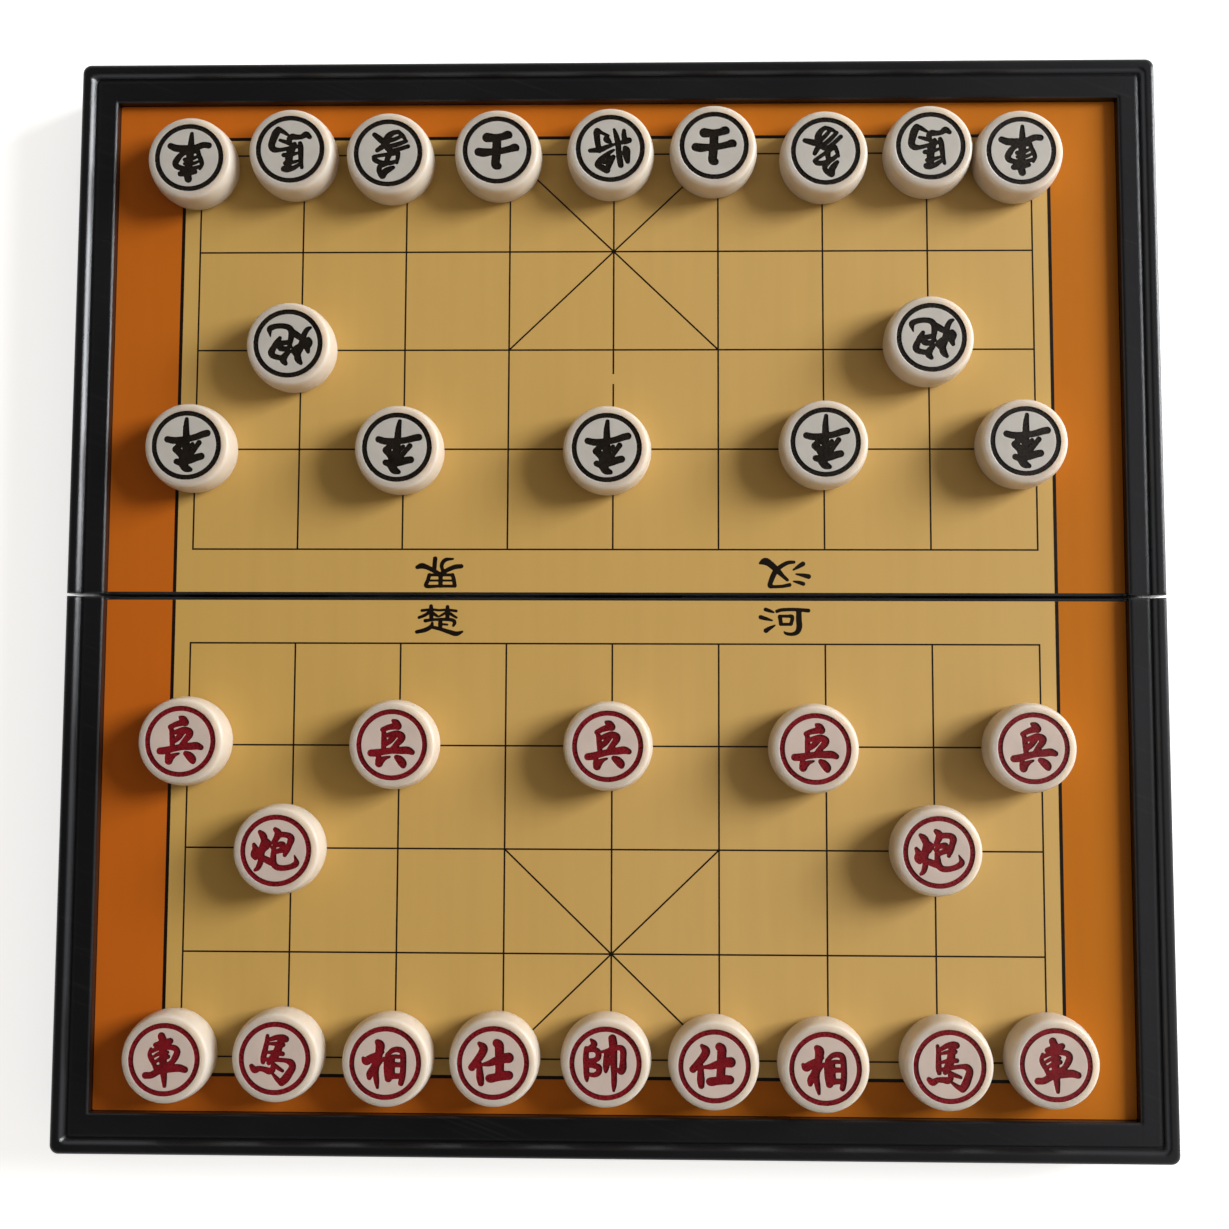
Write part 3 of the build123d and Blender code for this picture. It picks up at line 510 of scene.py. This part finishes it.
def make_mottle():
    """Broad and fine cloudiness, each from 0 to 1, for colour and gloss that vary over a surface."""
    group, nodes, links, given, out = node_group(
        "mottle",
        [("Vector", "NodeSocketVector", None), ("Broad", "NodeSocketFloat", 12.0),
         ("Fine", "NodeSocketFloat", 400.0)],
        [("Broad", "NodeSocketFloat"), ("Fine", "NodeSocketFloat")])
    for label, detail in (("Broad", 3.0), ("Fine", 4.0)):
        noise = add_node(nodes, "ShaderNodeTexNoise", inputs={"Detail": detail, "Roughness": 0.55})
        widen = add_node(nodes, "ShaderNodeMapRange", inputs={"From Min": 0.3, "From Max": 0.7})
        links.new(given.outputs["Vector"], noise.inputs["Vector"])
        links.new(given.outputs[label], noise.inputs["Scale"])
        links.new(noise.outputs["Fac"], widen.inputs["Value"])
        links.new(widen.outputs["Result"], out.inputs[label])
    return group


def make_hairlines():
    """Sparse fine scratches that run roughly one way: stretched noise, kept only where it peaks."""
    group, nodes, links, given, out = node_group(
        "hairlines",
        [("Vector", "NodeSocketVector", None), ("Angle", "NodeSocketFloat", 0.6),
         ("Share", "NodeSocketFloat", 0.62)],
        [("Mask", "NodeSocketFloat")])
    turn = add_node(nodes, "ShaderNodeVectorRotate", rotation_type="Z_AXIS")
    stretch = add_node(nodes, "ShaderNodeVectorMath", operation="MULTIPLY")
    stretch.inputs[1].default_value = (25.0, 1400.0, 300.0)
    noise = add_node(nodes, "ShaderNodeTexNoise", inputs={"Scale": 1.0, "Detail": 2.0})
    keep = add_node(nodes, "ShaderNodeMapRange", inputs={"From Max": 0.8})
    links.new(given.outputs["Vector"], turn.inputs["Vector"])
    links.new(given.outputs["Angle"], turn.inputs["Angle"])
    links.new(turn.outputs["Vector"], stretch.inputs[0])
    links.new(stretch.outputs["Vector"], noise.inputs["Vector"])
    links.new(noise.outputs["Fac"], keep.inputs["Value"])
    links.new(given.outputs["Share"], keep.inputs["From Min"])
    links.new(keep.outputs["Result"], out.inputs["Mask"])
    return group


MOTTLE = make_mottle()
HAIRLINES = make_hairlines()


def start_finish(name, broad, fine):
    """A material with its surface shader, Object coordinates and a mottle group in place."""
    material = bpy.data.materials.new(name)
    material.use_nodes = True
    tree = material.node_tree
    shader = tree.nodes["Principled BSDF"]
    where = tree.nodes.new("ShaderNodeTexCoord")
    mottle = add_node(tree.nodes, "ShaderNodeGroup", node_tree=MOTTLE, inputs={"Broad": broad, "Fine": fine})
    tree.links.new(where.outputs["Object"], mottle.inputs["Vector"])
    return material, tree, shader, where, mottle


def two_tone(tree, mask, first, second):
    """A colour mix between two colours by a mask."""
    mix = add_node(tree.nodes, "ShaderNodeMix", data_type="RGBA")
    mix.inputs["A"].default_value = (*first, 1)
    mix.inputs["B"].default_value = (*second, 1)
    tree.links.new(mask, mix.inputs["Factor"])
    return mix.outputs["Result"]


def spread(tree, value, low, high):
    """A value from 0 to 1 spread over another range."""
    node = add_node(tree.nodes, "ShaderNodeMapRange", inputs={"To Min": low, "To Max": high})
    tree.links.new(value, node.inputs["Value"])
    return node.outputs["Result"]


def grain(tree, shader, height, strength, distance):
    """Fine surface relief on the shader's normal."""
    bump = add_node(tree.nodes, "ShaderNodeBump", inputs={"Strength": strength, "Distance": distance})
    tree.links.new(height, bump.inputs["Height"])
    tree.links.new(bump.outputs["Normal"], shader.inputs["Normal"])
    return bump


def frame_plastic():
    """Glossy near-black moulded plastic, with faint handling haze, hairline scratches and moulding grain."""
    material, tree, shader, where, mottle = start_finish("frame_plastic", 9.0, 900.0)
    lines = add_node(tree.nodes, "ShaderNodeGroup", node_tree=HAIRLINES, inputs={"Angle": 0.35, "Share": 0.6})
    tree.links.new(where.outputs["Object"], lines.inputs["Vector"])
    body = two_tone(tree, mottle.outputs["Broad"], (0.0050, 0.0048, 0.0056), (0.0085, 0.0080, 0.0090))
    scuffed = add_node(tree.nodes, "ShaderNodeMix", data_type="RGBA")
    scuffed.inputs["B"].default_value = (0.022, 0.021, 0.022, 1)
    faint = spread(tree, lines.outputs["Mask"], 0.0, 0.5)
    tree.links.new(faint, scuffed.inputs["Factor"])
    tree.links.new(body, scuffed.inputs["A"])
    tree.links.new(scuffed.outputs["Result"], shader.inputs["Base Color"])
    haze = spread(tree, mottle.outputs["Broad"], 0.20, 0.30)
    tree.links.new(haze, shader.inputs["Roughness"])
    shader.inputs["Specular Tint"].default_value = (0.92, 0.95, 1.0, 1)
    relief = grain(tree, shader, mottle.outputs["Fine"], 0.06, 0.0001)
    soft_edge = tree.nodes.new("ShaderNodeBevel")
    soft_edge.samples = 6
    soft_edge.inputs["Radius"].default_value = 0.0013
    tree.links.new(soft_edge.outputs["Normal"], relief.inputs["Normal"])
    return material


def printed_film():
    """Satin film: ochre field inside the frame line, orange-brown border outside it, with the uneven ink of a
    cheap print in clouds and streaks. The border shows where either distance from the middle is past the
    line. Each tone shifts from left to right, the field paler and both tones yellower towards the right, a
    little clouded, and fine streaks run from near to far."""
    material, tree, shader, where, mottle = start_finish("printed_film", 7.0, 160.0)
    split = tree.nodes.new("ShaderNodeSeparateXYZ")
    tree.links.new(where.outputs["Object"], split.inputs["Vector"])
    masks = []
    for label, line in (("X", FRAME_LINE_X), ("Y", FRAME_LINE_Y)):
        away = add_node(tree.nodes, "ShaderNodeMath", operation="ABSOLUTE")
        past = add_node(tree.nodes, "ShaderNodeMapRange",
                        inputs={"From Min": (line - 0.05) * MM, "From Max": (line + 0.05) * MM})
        tree.links.new(split.outputs[label], away.inputs[0])
        tree.links.new(away.outputs["Value"], past.inputs["Value"])
        masks.append(past.outputs["Result"])
    border = add_node(tree.nodes, "ShaderNodeMath", operation="MAXIMUM")
    tree.links.new(masks[0], border.inputs[0])
    tree.links.new(masks[1], border.inputs[1])
    # The tones shift from left to right: the field paler and both tones yellower towards the right
    drift = add_node(tree.nodes, "ShaderNodeMapRange", inputs={"From Min": -0.14, "From Max": 0.14})
    cloudy = add_node(tree.nodes, "ShaderNodeMix", data_type="FLOAT", inputs={"Factor": 0.3})
    tree.links.new(split.outputs["X"], drift.inputs["Value"])
    tree.links.new(drift.outputs["Result"], cloudy.inputs["A"])
    tree.links.new(mottle.outputs["Broad"], cloudy.inputs["B"])
    field = two_tone(tree, cloudy.outputs["Result"], (0.594, 0.371, 0.099), (0.610, 0.401, 0.146))
    edge = two_tone(tree, cloudy.outputs["Result"], (0.565, 0.127, 0.0094), (0.510, 0.169, 0.0138))
    ink = add_node(tree.nodes, "ShaderNodeMix", data_type="RGBA")
    tree.links.new(border.outputs["Value"], ink.inputs["Factor"])
    tree.links.new(field, ink.inputs["A"])
    tree.links.new(edge, ink.inputs["B"])
    streaks = add_node(tree.nodes, "ShaderNodeTexNoise", inputs={"Scale": 1.0, "Detail": 3.0})
    stretch = add_node(tree.nodes, "ShaderNodeVectorMath", operation="MULTIPLY")
    stretch.inputs[1].default_value = (220.0, 14.0, 1.0)
    tree.links.new(where.outputs["Object"], stretch.inputs[0])
    tree.links.new(stretch.outputs["Vector"], streaks.inputs["Vector"])
    tone = add_node(tree.nodes, "ShaderNodeMix", data_type="RGBA", blend_type="MULTIPLY")
    tone.inputs["B"].default_value = (0.86, 0.85, 0.84, 1)
    tree.links.new(spread(tree, streaks.outputs["Fac"], -0.1, 0.5), tone.inputs["Factor"])
    tree.links.new(ink.outputs["Result"], tone.inputs["A"])
    tree.links.new(tone.outputs["Result"], shader.inputs["Base Color"])
    tree.links.new(spread(tree, mottle.outputs["Fine"], 0.30, 0.38), shader.inputs["Roughness"])
    shader.inputs["Specular IOR Level"].default_value = 0.12
    grain(tree, shader, mottle.outputs["Fine"], 0.05, 0.0001)
    return material


def plain_finish(name, first, second, rough, broad, fine, relief, **settings):
    """A finish of two near colours in clouds, with uneven gloss and fine relief."""
    material, tree, shader, where, mottle = start_finish(name, broad, fine)
    tree.links.new(two_tone(tree, mottle.outputs["Broad"], first, second), shader.inputs["Base Color"])
    tree.links.new(spread(tree, mottle.outputs["Fine"], *rough), shader.inputs["Roughness"])
    grain(tree, shader, mottle.outputs["Fine"], relief, 0.0001)
    for label, value in settings.items():
        shader.inputs[label.replace("_", " ")].default_value = value
    return material


def brushed_steel(name):
    """Cold-rolled steel: grey metal with fine lines one way in colour and gloss."""
    material, tree, shader, where, mottle = start_finish(name, 30.0, 700.0)
    lines = add_node(tree.nodes, "ShaderNodeGroup", node_tree=HAIRLINES, inputs={"Angle": 0.0, "Share": 0.4})
    tree.links.new(where.outputs["Object"], lines.inputs["Vector"])
    colour = two_tone(tree, lines.outputs["Mask"], (0.50, 0.51, 0.53), (0.34, 0.35, 0.37))
    tree.links.new(colour, shader.inputs["Base Color"])
    tree.links.new(spread(tree, lines.outputs["Mask"], 0.28, 0.42), shader.inputs["Roughness"])
    shader.inputs["Metallic"].default_value = 1.0
    return material


FRAME_PLASTIC = frame_plastic()
PRINTED_FILM = printed_film()
PRINT_INK = plain_finish(
    "print_ink", (0.004, 0.0025, 0.0015), (0.012, 0.007, 0.004), (0.28, 0.36), 60.0, 700.0, 0.05,
    Specular_IOR_Level=0.25)
SCATTER = (1.0, 0.8, 0.62)
IVORY = plain_finish(
    "ivory_plastic", (0.582, 0.517, 0.446), (0.633, 0.568, 0.494), (0.32, 0.42), 120.0, 1500.0, 0.04,
    Specular_IOR_Level=0.4, Subsurface_Weight=1.0, Subsurface_Scale=0.010, Subsurface_Radius=SCATTER)
# Painted reflection: each disc's flat field inside the ring is tinted greyer and darker than the ivory
COOL_FIELD_PAINTED_REFLECTION = plain_finish(
    "black_disc_field_painted_reflection", (0.502, 0.480, 0.447), (0.557, 0.537, 0.502), (0.36, 0.5), 140.0, 1200.0, 0.06,
    Subsurface_Weight=0.3, Subsurface_Scale=0.003, Subsurface_Radius=SCATTER)
WARM_FIELD_PAINTED_REFLECTION = plain_finish(
    "red_disc_field_painted_reflection", (0.585, 0.482, 0.431), (0.648, 0.536, 0.482), (0.36, 0.5), 140.0, 1200.0, 0.06,
    Subsurface_Weight=0.3, Subsurface_Scale=0.003, Subsurface_Radius=SCATTER)
BLACK_PAINT = plain_finish(
    "black_paint", (0.006, 0.0035, 0.0015), (0.014, 0.0095, 0.006), (0.2, 0.34), 260.0, 1400.0, 0.08)
RED_PAINT = plain_finish(
    "red_paint", (0.135, 0.0025, 0.006), (0.215, 0.0045, 0.011), (0.22, 0.36), 260.0, 1400.0, 0.08)
FERRITE = plain_finish(
    "ferrite", (0.030, 0.029, 0.030), (0.055, 0.053, 0.052), (0.45, 0.65), 180.0, 900.0, 0.2)
SHEET_STEEL = brushed_steel("sheet_steel")
PIN_STEEL = brushed_steel("pin_steel")

NODE_FINISH = {"near_shell": FRAME_PLASTIC, "far_shell": FRAME_PLASTIC, "near_printed_sheet": PRINTED_FILM,
               "far_printed_sheet": PRINTED_FILM, "near_steel_sheet": SHEET_STEEL,
               "far_steel_sheet": SHEET_STEEL, "hinge_pins": PIN_STEEL}
for node, finish in NODE_FINISH.items():
    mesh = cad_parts[node].data
    if len(mesh.materials) == 0:
        mesh.materials.append(finish)
    for index in range(len(mesh.materials)):
        mesh.materials[index] = finish


# Discs

def disc_top(mark):
    """Flat top of a disc with its sunk ring and mark, about the disc's own middle. A face is sunk where its
    middle lies between the ring's two circles or inside a stroke. Kinds: 0 rim, 1 field, 2 sunk."""
    weight, size, across, along = MARK_FIT[mark]
    pieces = stroke_pieces(MARKS[mark], weight) * size + (across, along, 0, across, along, 0)
    circles = [circle_points(radius, TURN_STEPS) for radius in (DISC_FLAT_RADIUS, RING_OUTER, RING_INNER)]
    flat, faces = triangulate([*circles, outline_of(pieces, MARK_REACH)])
    middle = flat[faces].mean(axis=1)
    away = np.hypot(*middle.T)
    in_ring = (away > RING_INNER * 0.9995) & (away < RING_OUTER)
    low = in_ring | ((distance_to_strokes(pieces, middle) < 0) & (away < RING_OUTER))
    points, triangles, kinds = sunk_plate(flat, faces, low, DISC_HEIGHT, DISC_HEIGHT - MARK_DEPTH)
    # The field inside the ring takes the greyer tone of a painted reflection
    inner = (kinds == 0) & np.concatenate([away < RING_INNER, np.zeros(len(kinds) - len(low), bool)])
    return points, triangles, np.where(kinds > 0, 2, np.where(inner, 1, 0))


def make_disc(node, mark, tops):
    """One engraved disc in place of its solid, and the magnet in its foot."""
    colour = node.split("_")[0]
    low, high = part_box(node)
    centre = (np.array(low[:2]) + np.array(high[:2])) / 2 / MM
    angle = np.radians(DISC_TURN[node] + (180 if colour == "black" else 0))
    if mark not in tops:
        tops[mark] = disc_top(mark)
    top_points, triangles, kinds = tops[mark]
    side_points, quads, fan = turned(disc_profile(), TURN_STEPS)
    points = np.vstack([side_points, top_points])
    turn = np.array([[np.cos(angle), -np.sin(angle)], [np.sin(angle), np.cos(angle)]])
    points[:, :2] = points[:, :2] @ turn.T + centre
    points[:, 2] += SURFACE_Z
    # The field's tone is a painted reflection, greyer and darker than the ivory round it
    field, paint = (COOL_FIELD_PAINTED_REFLECTION, BLACK_PAINT) if colour == "black" else (WARM_FIELD_PAINTED_REFLECTION, RED_PAINT)
    mesh = make_mesh(f"{node}_engraved", points,
                     [(quads, 0), (fan, 0), (triangles + len(side_points), kinds)], [IVORY, field, paint])
    add_piece(tidy(mesh), node, "disc_plastic", node)
    rim = [(0, MAGNET_BOTTOM), (MAGNET_FAN, MAGNET_BOTTOM), (MAGNET_RADIUS - MAGNET_EDGE, MAGNET_BOTTOM),
           (MAGNET_RADIUS, MAGNET_BOTTOM + MAGNET_EDGE), (MAGNET_RADIUS, MAGNET_TOP - MAGNET_EDGE),
           (MAGNET_RADIUS - MAGNET_EDGE, MAGNET_TOP)]
    points, quads, fan = turned(rim, MAGNET_STEPS)
    cap = np.arange(MAGNET_STEPS)[None, :] + (len(rim) - 2) * MAGNET_STEPS
    points[:, :2] += centre
    points[:, 2] += SURFACE_Z
    mesh = make_mesh(f"{node}_magnet", points, [(quads, 0), (fan, 0), (cap, 0)], [FERRITE])
    add_piece(tidy(mesh), node, "disc_plastic")


tops = {}
for node in DISC_TURN:
    colour, rank = node.split("_")[:2]
    mark = rank if rank in MARKS else f"{rank}_{colour}"
    make_disc(node, mark, tops)


# Print on the board: the ink's heights from the film, the widths of its lines, the break in the far half's
# middle file, and how far the lines stay from the film's edge and the bare film reaches past them

INK_TOP = 0.02
INK_FOOT = -0.05
LINE_WIDTH = 0.46
FRAME_WIDTH = 0.95
PRINT_GAP = (61.3, 64.2)
FILM_EDGE = 0.02
FILM_MARGIN = 2.0


def strip(start, end, width):
    """Corners of a straight line's ink, left side first."""
    start, end = np.array(start, float), np.array(end, float)
    along = (end - start) / np.hypot(*(end - start))
    side = np.array([-along[1], along[0]]) * width / 2
    return np.array([start - side, end - side, end + side, start + side])


def inside_strips(strips, points):
    """True for each point that lies in any strip: on the left of all four of its sides."""
    hit = np.zeros(len(points), bool)
    for corners in strips:
        edge = np.roll(corners, -1, axis=0) - corners
        rel = points[:, None] - corners[None]
        hit |= (edge[:, 0] * rel[..., 1] - edge[:, 1] * rel[..., 0] > 0).all(axis=1)
    return hit


def ink_plate(name, flat, faces, on, body):
    """Raised ink over the faces where on is True: its top, its foot in the film and its edges."""
    points, triangles, kinds = sunk_plate(flat, faces, ~on, SURFACE_Z + INK_TOP, SURFACE_Z + INK_FOOT)
    keep = triangles[(kinds == 0) | (kinds == 2)]
    foot = (faces[on] + len(flat))[:, ::-1]
    used, index = np.unique(np.vstack([keep, foot]), return_inverse=True)
    faces = index.reshape(-1, 3)
    mesh = make_mesh(name, points[used], [(faces, 0)], [PRINT_INK])
    return add_piece(tidy(mesh), body, "printed_film")


def half_lines(side):
    """Strips of one half's print: files, ranks, palace diagonals and the heavy line round the field."""
    first, last = RANKS[0], RANKS[-1]
    strips = []
    for x in FILES:
        runs = [(first, last)]
        if side > 0 and x == 0:
            runs = [(first, PRINT_GAP[0]), (PRINT_GAP[1], last)]
        strips += [strip((x, side * a), (x, side * b), LINE_WIDTH) for a, b in runs]
    reach = FILES[-1] + LINE_WIDTH / 2
    strips += [strip((-reach, side * y), (reach, side * y), LINE_WIDTH) for y in RANKS]
    palace = last - 2 * RANK_PITCH
    strips += [strip((-sx * FILE_PITCH, side * last), (sx * FILE_PITCH, side * palace), LINE_WIDTH)
               for sx in (1, -1)]
    start, end = FILM_START_Y + FILM_EDGE, FRAME_LINE_Y + FRAME_WIDTH / 2
    strips += [strip((sx * FRAME_LINE_X, side * start), (sx * FRAME_LINE_X, side * end), FRAME_WIDTH)
               for sx in (-1, 1)]
    reach = FRAME_LINE_X + FRAME_WIDTH / 2
    strips.append(strip((-reach, side * FRAME_LINE_Y), (reach, side * FRAME_LINE_Y), FRAME_WIDTH))
    return strips


# The lines are cut out of a rectangle of bare film that reaches past them all
ring_pairs = np.array([[0, 1], [1, 2], [2, 3], [3, 0]])
for half, side in (("near", -1), ("far", 1)):
    strips = half_lines(side)
    bare_film = strip((0, 0), (0, side * (FRAME_LINE_Y + FILM_MARGIN)), 2 * (FRAME_LINE_X + FILM_MARGIN))
    flat, faces = triangulate([(corners, ring_pairs) for corners in [bare_film, *strips]])
    on = inside_strips(strips, flat[faces].mean(axis=1))
    ink_plate(f"{half}_print_lines", flat, faces, on, f"{half}_half")

# Each river mark: its half, middle in mm, turn in degrees and weight
RIVER_MARKS = (("river_first", "near", -49.4, -6.8, 0, 1.06), ("river_second", "near", 48.6, -6.9, 0, 1.26),
               ("river_third", "far", 48.7, 6.8, 180, 1.28), ("river_fourth", "far", -49.6, 6.8, 180, 1.26))
for mark, half, x, y, turn, weight in RIVER_MARKS:
    pieces = stroke_pieces(MARKS[mark], weight)
    flat, faces = triangulate([circle_points(RIVER_PATCH, PATCH_STEPS), outline_of(pieces, RIVER_REACH)])
    on = distance_to_strokes(pieces, flat[faces].mean(axis=1)) < 0
    angle = np.radians(turn)
    flat = flat @ np.array([[np.cos(angle), np.sin(angle)], [-np.sin(angle), np.cos(angle)]]) + (x, y)
    ink_plate(f"{half}_{mark}_mark", flat, faces, on, f"{half}_half")


# Floor, light and camera

def seen_directly(nodes, links):
    """A socket that is 1 where the camera, gloss or the light through a gap meets the surface, else 0."""
    path = nodes.new("ShaderNodeLightPath")
    seen = add_node(nodes, "ShaderNodeMath", operation="MAXIMUM")
    either = add_node(nodes, "ShaderNodeMath", operation="MAXIMUM")
    links.new(path.outputs["Is Camera Ray"], seen.inputs[0])
    links.new(path.outputs["Is Glossy Ray"], seen.inputs[1])
    links.new(seen.outputs["Value"], either.inputs[0])
    links.new(path.outputs["Is Transmission Ray"], either.inputs[1])
    return either.outputs["Value"]


def product(nodes, links, first, second):
    """A socket with one value times another."""
    times = add_node(nodes, "ShaderNodeMath", operation="MULTIPLY")
    links.new(first, times.inputs[0])
    links.new(second, times.inputs[1])
    return times.outputs["Value"]


def make_floor():
    """A wide white floor that the set lies on. Seen directly it glows where it lies open, and more so far
    away, so it shows white and keeps a light shadow beside the set and a dark one under it."""
    finish = plain_finish("floor_paint", (0.80, 0.80, 0.80), (0.84, 0.84, 0.84), (0.75, 0.85), 1.5, 40.0, 0.0)
    nodes, links = finish.node_tree.nodes, finish.node_tree.links
    openness = nodes.new("ShaderNodeAmbientOcclusion")
    openness.inputs["Distance"].default_value = 0.08
    lift = add_node(nodes, "ShaderNodeMapRange", inputs={"From Min": 0.08, "From Max": 0.4, "To Max": 0.70})
    away = add_node(nodes, "ShaderNodeVectorMath", operation="LENGTH")
    far = add_node(nodes, "ShaderNodeMapRange",
                   inputs={"From Min": 0.3, "From Max": 1.1, "To Min": 1.0, "To Max": 1.5})
    links.new(nodes["Texture Coordinate"].outputs["Object"], away.inputs[0])
    links.new(away.outputs["Value"], far.inputs["Value"])
    links.new(openness.outputs["AO"], lift.inputs["Value"])
    whiter = product(nodes, links, far.outputs["Result"], lift.outputs["Result"])
    strength = product(nodes, links, seen_directly(nodes, links), whiter)
    shader = nodes["Principled BSDF"]
    shader.inputs["Emission Color"].default_value = (1, 1, 1, 1)
    links.new(strength, shader.inputs["Emission Strength"])
    corners = np.array([[-4000, -4000, 0], [4000, -4000, 0], [4000, 4000, 0], [-4000, 4000, 0]], float)
    mesh = make_mesh("floor", corners, [(np.array([[0, 1, 2, 3]]), 0)], [finish])
    floor = bpy.data.objects.new("floor", mesh)
    bpy.context.scene.collection.objects.link(floor)
    floor_follows_fold(floor)


def floor_follows_fold(floor):
    """Folded, the far half hangs under the near one. The floor's height is that of the face of the far
    half's corner disc, but never above the table's level."""
    low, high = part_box("black_chariot_left")
    face = bpy.data.objects.new("corner_disc_face", None)
    face.location = ((low[0] + high[0]) / 2, (low[1] + high[1]) / 2, high[2])
    bpy.context.scene.collection.objects.link(face)
    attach(face, "black_chariot_left")
    follow = floor.constraints.new("COPY_LOCATION")
    follow.target, follow.use_x, follow.use_y = face, False, False
    table_level = floor.constraints.new("LIMIT_LOCATION")
    table_level.use_max_z, table_level.max_z = True, 0.0


def make_room():
    """The room round the set. It lights the set dimly and warmly, a little more from the right. Seen
    directly it is white up to about 23 degrees above the floor, dim overhead, and its right side glows
    about twice as strongly."""
    world = bpy.data.worlds.new("room")
    world.use_nodes = True
    nodes, links = world.node_tree.nodes, world.node_tree.links
    where = nodes.new("ShaderNodeTexCoord")
    split = nodes.new("ShaderNodeSeparateXYZ")
    rise = nodes.new("ShaderNodeValToRGB")
    levels = ((0.40, 1.0), (0.60, 0.22), (0.82, 0.09), (1.0, 0.05))
    while len(rise.color_ramp.elements) < len(levels):
        rise.color_ramp.elements.new(0.5)
    for element, (place, level) in zip(rise.color_ramp.elements, levels):
        element.position, element.color = place, (level, level, level, 1)
    links.new(where.outputs["Generated"], split.inputs["Vector"])
    links.new(split.outputs["Z"], rise.inputs["Fac"])
    seen = seen_directly(nodes, links)
    shown = add_node(nodes, "ShaderNodeMix", data_type="FLOAT", inputs={"A": 0.19})
    links.new(seen, shown.inputs["Factor"])
    links.new(rise.outputs["Color"], shown.inputs["B"])
    right = add_node(nodes, "ShaderNodeMapRange", interpolation_type="SMOOTHSTEP",
                     inputs={"From Min": 0.12, "From Max": 0.55, "To Min": 0.0, "To Max": 0.30})
    gloss = add_node(nodes, "ShaderNodeMapRange", inputs={"To Min": 1.0, "To Max": 2.2})
    total = add_node(nodes, "ShaderNodeMath", operation="ADD", use_clamp=True)
    links.new(split.outputs["X"], right.inputs["Value"])
    links.new(seen, gloss.inputs["Value"])
    links.new(shown.outputs["Result"], total.inputs[0])
    links.new(product(nodes, links, right.outputs["Result"], gloss.outputs["Result"]), total.inputs[1])
    links.new(total.outputs["Value"], nodes["Background"].inputs["Strength"])
    tint = add_node(nodes, "ShaderNodeMix", data_type="RGBA")
    tint.inputs["A"].default_value = (1.0, 0.90, 0.78, 1)
    tint.inputs["B"].default_value = (1.0, 1.0, 1.0, 1)
    links.new(seen, tint.inputs["Factor"])
    links.new(tint.outputs["Result"], nodes["Background"].inputs["Color"])
    bpy.context.scene.world = world


def area_light(name, place, target, width, height, power, colour):
    """A soft rectangular lamp that faces a point."""
    lamp = bpy.data.lights.new(name, "AREA")
    lamp.shape = "RECTANGLE"
    lamp.size, lamp.size_y, lamp.energy, lamp.color = width, height, power, colour
    holder = bpy.data.objects.new(name, lamp)
    bpy.context.scene.collection.objects.link(holder)
    holder.location = place
    holder.rotation_euler = (Vector(target) - Vector(place)).to_track_quat("-Z", "Y").to_euler()


def make_camera():
    """A camera almost straight above, as the photograph's: a little nearer the players of the near half,
    and tilted towards the river."""
    lens = bpy.data.cameras.new("camera")
    lens.sensor_fit = "HORIZONTAL"
    lens.sensor_width = 36.0
    lens.lens = 40.25
    camera = bpy.data.objects.new("camera", lens)
    bpy.context.scene.collection.objects.link(camera)
    camera.location = (8.44 * MM, -32.54 * MM, 405.2 * MM)
    camera.rotation_euler = (0.0704, 0.0200, 0.0035)
    bpy.context.scene.camera = camera


make_floor()
make_room()
area_light("window", place=(2.137, 0.754, 1.073), target=(0, 0, 0), width=0.95, height=1.10, power=89.5,
           colour=(1.0, 0.995, 0.985))
make_camera()
bpy.context.scene.view_settings.view_transform = "Standard"
